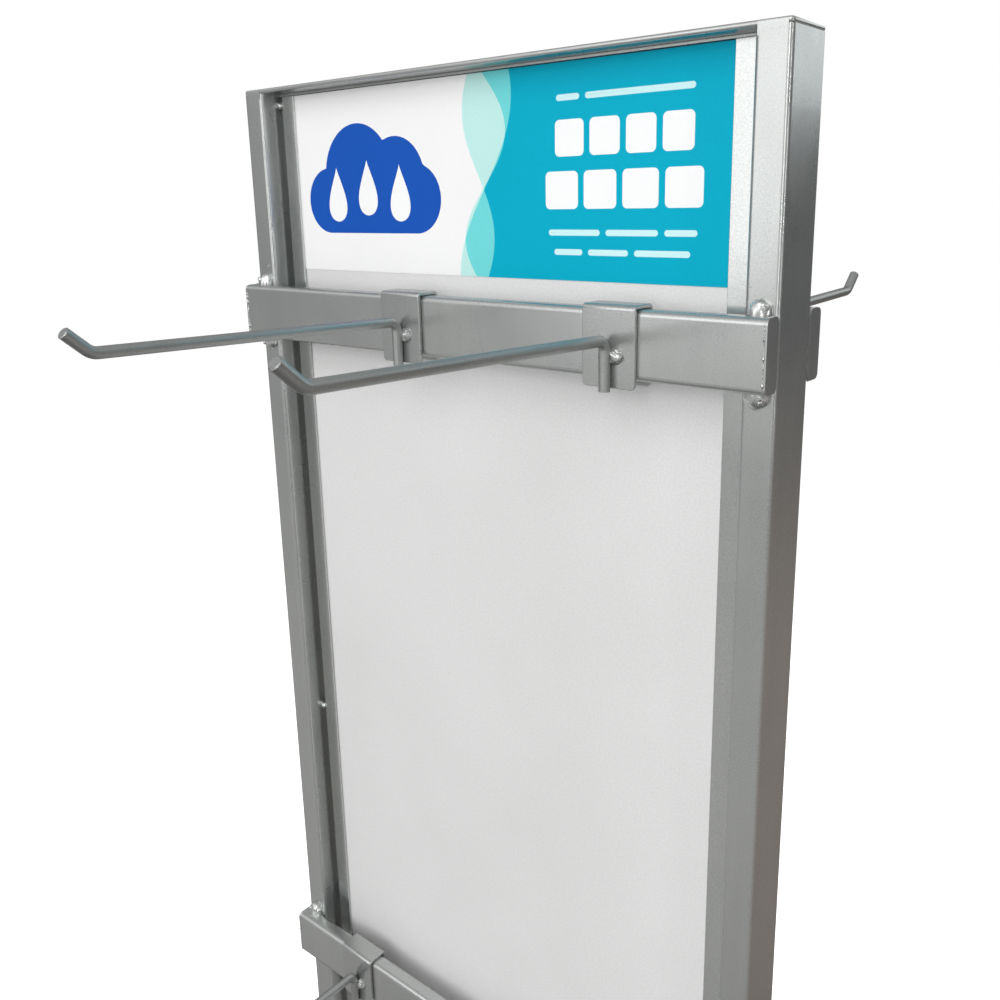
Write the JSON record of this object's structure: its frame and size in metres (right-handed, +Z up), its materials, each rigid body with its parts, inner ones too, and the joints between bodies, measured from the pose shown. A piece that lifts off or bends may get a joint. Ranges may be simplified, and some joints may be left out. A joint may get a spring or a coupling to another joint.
{
  "type": "two-sided display stand",
  "caption": "Free-standing two-sided steel tube display frame with a flat white panel, printed header, crossbars on both faces and sliding saddle hooks, on levelling feet.",
  "frame": {"origin": "floor level under the centre of the frame", "axes": "+Z up, +X to the right along the crossbars, -Y towards the front face"},
  "size_m": [0.429, 0.54, 1.676],
  "materials": {
    "frame_steel": "glossy silver-grey metallic powder coat on steel",
    "weld_metal": "the same coat over weld beads",
    "saddle_steel": "glossy silver-grey metallic powder coat on steel strip",
    "hook_steel": "silver-grey metallic powder coat on steel wire",
    "zinc_steel": "zinc plated",
    "panel_plastic": "plain off-white sheet",
    "header_print": "white, mint and teal print on film",
    "black_plastic": "moulded black plastic"
  },
  "bodies": {
    "frame": {"left_upright": "frame_steel", "right_upright": "frame_steel", "top_cap_bar": "frame_steel", "bottom_rail": "frame_steel", "front_upper_crossbar": "frame_steel", "front_middle_crossbar": "frame_steel", "front_lower_crossbar": "frame_steel", "rear_upper_crossbar": "frame_steel", "rear_middle_crossbar": "frame_steel", "rear_lower_crossbar": "frame_steel", "crossbar_end_plates": "frame_steel", "left_panel_channel": "frame_steel", "right_panel_channel": "frame_steel", "top_panel_strip": "frame_steel", "bottom_panel_channel": "frame_steel", "left_foot_tube": "frame_steel", "right_foot_tube": "frame_steel", "crossbar_welds": "weld_metal", "channel_tack_welds": "weld_metal", "foot_welds": "weld_metal", "display_panel": "panel_plastic", "front_header_graphic": "header_print", "rear_header_graphic": "header_print", "foot_end_plugs": "black_plastic", "leveller_nuts": "zinc_steel"},
    "front_upper_left_hook": {"front_upper_left_hook_saddle": "saddle_steel", "front_upper_left_hook_wire": "hook_steel"},
    "front_upper_right_hook": {"front_upper_right_hook_saddle": "saddle_steel", "front_upper_right_hook_wire": "hook_steel"},
    "front_middle_left_hook": {"front_middle_left_hook_saddle": "saddle_steel", "front_middle_left_hook_wire": "hook_steel"},
    "front_middle_right_hook": {"front_middle_right_hook_saddle": "saddle_steel", "front_middle_right_hook_wire": "hook_steel"},
    "front_lower_left_hook": {"front_lower_left_hook_saddle": "saddle_steel", "front_lower_left_hook_wire": "hook_steel"},
    "front_lower_right_hook": {"front_lower_right_hook_saddle": "saddle_steel", "front_lower_right_hook_wire": "hook_steel"},
    "rear_upper_left_hook": {"rear_upper_left_hook_saddle": "saddle_steel", "rear_upper_left_hook_wire": "hook_steel"},
    "rear_upper_right_hook": {"rear_upper_right_hook_saddle": "saddle_steel", "rear_upper_right_hook_wire": "hook_steel"},
    "rear_middle_left_hook": {"rear_middle_left_hook_saddle": "saddle_steel", "rear_middle_left_hook_wire": "hook_steel"},
    "rear_middle_right_hook": {"rear_middle_right_hook_saddle": "saddle_steel", "rear_middle_right_hook_wire": "hook_steel"},
    "rear_lower_left_hook": {"rear_lower_left_hook_saddle": "saddle_steel", "rear_lower_left_hook_wire": "hook_steel"},
    "rear_lower_right_hook": {"rear_lower_right_hook_saddle": "saddle_steel", "rear_lower_right_hook_wire": "hook_steel"},
    "front_left_leveller": {"front_left_leveller_stud": "zinc_steel", "front_left_leveller_pad": "black_plastic"},
    "front_right_leveller": {"front_right_leveller_stud": "zinc_steel", "front_right_leveller_pad": "black_plastic"},
    "rear_left_leveller": {"rear_left_leveller_stud": "zinc_steel", "rear_left_leveller_pad": "black_plastic"},
    "rear_right_leveller": {"rear_right_leveller_stud": "zinc_steel", "rear_right_leveller_pad": "black_plastic"}
  },
  "joints": [
    {"name": "front_upper_left_hook_slide", "type": "slide", "parent": "frame", "child": "front_upper_left_hook", "axis": [1, 0, 0], "range_m": [-0.1279, 0.062]},
    {"name": "front_upper_right_hook_slide", "type": "slide", "parent": "frame", "child": "front_upper_right_hook", "axis": [1, 0, 0], "range_m": [-0.062, 0.0529]},
    {"name": "front_middle_left_hook_slide", "type": "slide", "parent": "frame", "child": "front_middle_left_hook", "axis": [1, 0, 0], "range_m": [-0.0399, 0.0785]},
    {"name": "front_middle_right_hook_slide", "type": "slide", "parent": "frame", "child": "front_middle_right_hook", "axis": [1, 0, 0], "range_m": [-0.0785, 0.1079]},
    {"name": "front_lower_left_hook_slide", "type": "slide", "parent": "frame", "child": "front_lower_left_hook", "axis": [1, 0, 0], "range_m": [-0.0739, 0.0725]},
    {"name": "front_lower_right_hook_slide", "type": "slide", "parent": "frame", "child": "front_lower_right_hook", "axis": [1, 0, 0], "range_m": [-0.0725, 0.0859]},
    {"name": "rear_upper_left_hook_slide", "type": "slide", "parent": "frame", "child": "rear_upper_left_hook", "axis": [1, 0, 0], "range_m": [-0.0999, 0.0885]},
    {"name": "rear_upper_right_hook_slide", "type": "slide", "parent": "frame", "child": "rear_upper_right_hook", "axis": [1, 0, 0], "range_m": [-0.0885, 0.0279]},
    {"name": "rear_middle_left_hook_slide", "type": "slide", "parent": "frame", "child": "rear_middle_left_hook", "axis": [1, 0, 0], "range_m": [-0.0659, 0.0805]},
    {"name": "rear_middle_right_hook_slide", "type": "slide", "parent": "frame", "child": "rear_middle_right_hook", "axis": [1, 0, 0], "range_m": [-0.0805, 0.0779]},
    {"name": "rear_lower_left_hook_slide", "type": "slide", "parent": "frame", "child": "rear_lower_left_hook", "axis": [1, 0, 0], "range_m": [-0.0839, 0.0755]},
    {"name": "rear_lower_right_hook_slide", "type": "slide", "parent": "frame", "child": "rear_lower_right_hook", "axis": [1, 0, 0], "range_m": [-0.0755, 0.0699]},
    {"name": "front_left_leveller_travel", "type": "slide", "parent": "frame", "child": "front_left_leveller", "axis": [0, 0, 1], "range_m": [-0.015, 0.004]},
    {"name": "front_right_leveller_travel", "type": "slide", "parent": "frame", "child": "front_right_leveller", "axis": [0, 0, 1], "range_m": [-0.015, 0.004]},
    {"name": "rear_left_leveller_travel", "type": "slide", "parent": "frame", "child": "rear_left_leveller", "axis": [0, 0, 1], "range_m": [-0.015, 0.004]},
    {"name": "rear_right_leveller_travel", "type": "slide", "parent": "frame", "child": "rear_right_leveller", "axis": [0, 0, 1], "range_m": [-0.015, 0.004]}
  ]
}
